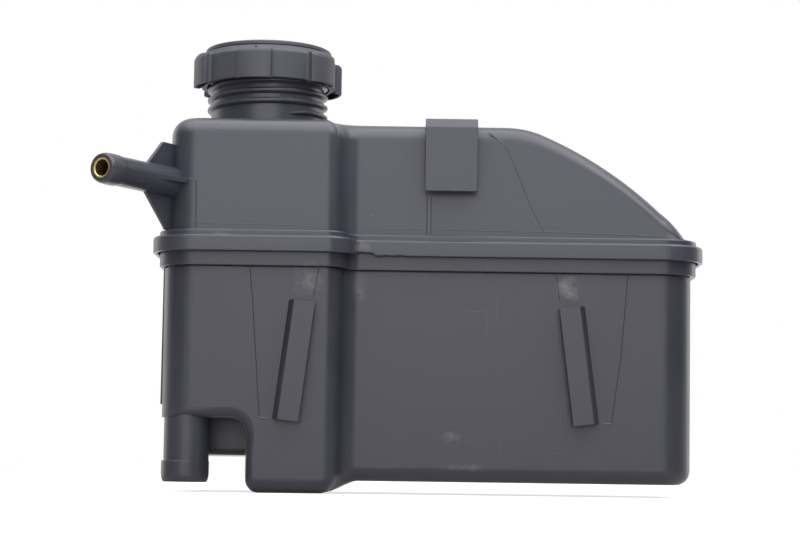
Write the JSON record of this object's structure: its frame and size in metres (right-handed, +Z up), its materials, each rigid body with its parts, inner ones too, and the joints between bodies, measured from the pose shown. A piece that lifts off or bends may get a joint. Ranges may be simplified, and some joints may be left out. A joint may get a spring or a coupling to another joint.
{
  "type": "power steering reservoir",
  "caption": "Moulded fluid reservoir in two welded shells with a screw cap, a side hose nipple, a bottom outlet, a hook and bracket rails.",
  "frame": {"origin": "centre of the flat foot under the sump", "axes": "+X along the tank towards its sloping end, +Y towards the back, +Z up through the filler neck"},
  "size_m": [0.2609, 0.1493, 0.2],
  "materials": {
    "upper_plastic": "dusty satin moulded plastic with fine scratches",
    "lower_plastic": "satin moulded plastic, slightly darker, with fine marks",
    "cap_plastic": "matt moulded plastic",
    "inner_plastic": "plain moulded plastic",
    "insert_plastic": "plain moulded plastic",
    "dipstick_plastic": "pale moulded plastic",
    "seal_rubber": "soft black rubber",
    "brass": "dull drawn brass",
    "gauze": "fine woven steel gauze",
    "spring_steel": "bright spring steel"
  },
  "bodies": {
    "tank": {"upper_shell": "upper_plastic", "lower_shell": "lower_plastic", "nipple_sleeve": "brass", "baffle_plate": "inner_plastic", "strainer_frame": "inner_plastic", "strainer_mesh": "gauze"},
    "insert": {"cap_insert": "insert_plastic", "insert_clip": "spring_steel", "insert_seal": "seal_rubber", "neck_gasket": "seal_rubber", "valve_seat": "insert_plastic", "valve_spring": "spring_steel", "dipstick": "dipstick_plastic"},
    "cap": {"cap_shell": "cap_plastic", "cap_disc": "cap_plastic"},
    "pressure_valve": {"valve_plate": "insert_plastic", "valve_seal": "seal_rubber", "suction_spring": "spring_steel"},
    "suction_valve": {"suction_valve": "seal_rubber"}
  },
  "joints": [
    {"name": "cap_lift", "type": "slide", "parent": "tank", "child": "insert", "axis": [0, 0, 1], "range_m": [0, 0.0092]},
    {"name": "cap_turn", "type": "hinge", "parent": "insert", "child": "cap", "pos_m": [-0.0133, 0, 0.19], "axis": [0, 0, 1], "range_deg": [0, 720]},
    {"name": "pressure_valve_lift", "type": "slide", "parent": "insert", "child": "pressure_valve", "axis": [0, 0, 1], "range_m": [0, 0.0025], "stiffness_N_per_m": 300, "springref_m": -0.003, "deforming": ["valve_spring"]},
    {"name": "suction_valve_drop", "type": "slide", "parent": "pressure_valve", "child": "suction_valve", "axis": [0, 0, -1], "range_m": [0, 0.0012], "stiffness_N_per_m": 100, "springref_m": -0.002, "deforming": ["suction_spring"]}
  ],
  "couplings": [
    {"joint": "cap_lift", "follows": "cap_turn", "m_per_rad": 0.00073211}
  ]
}
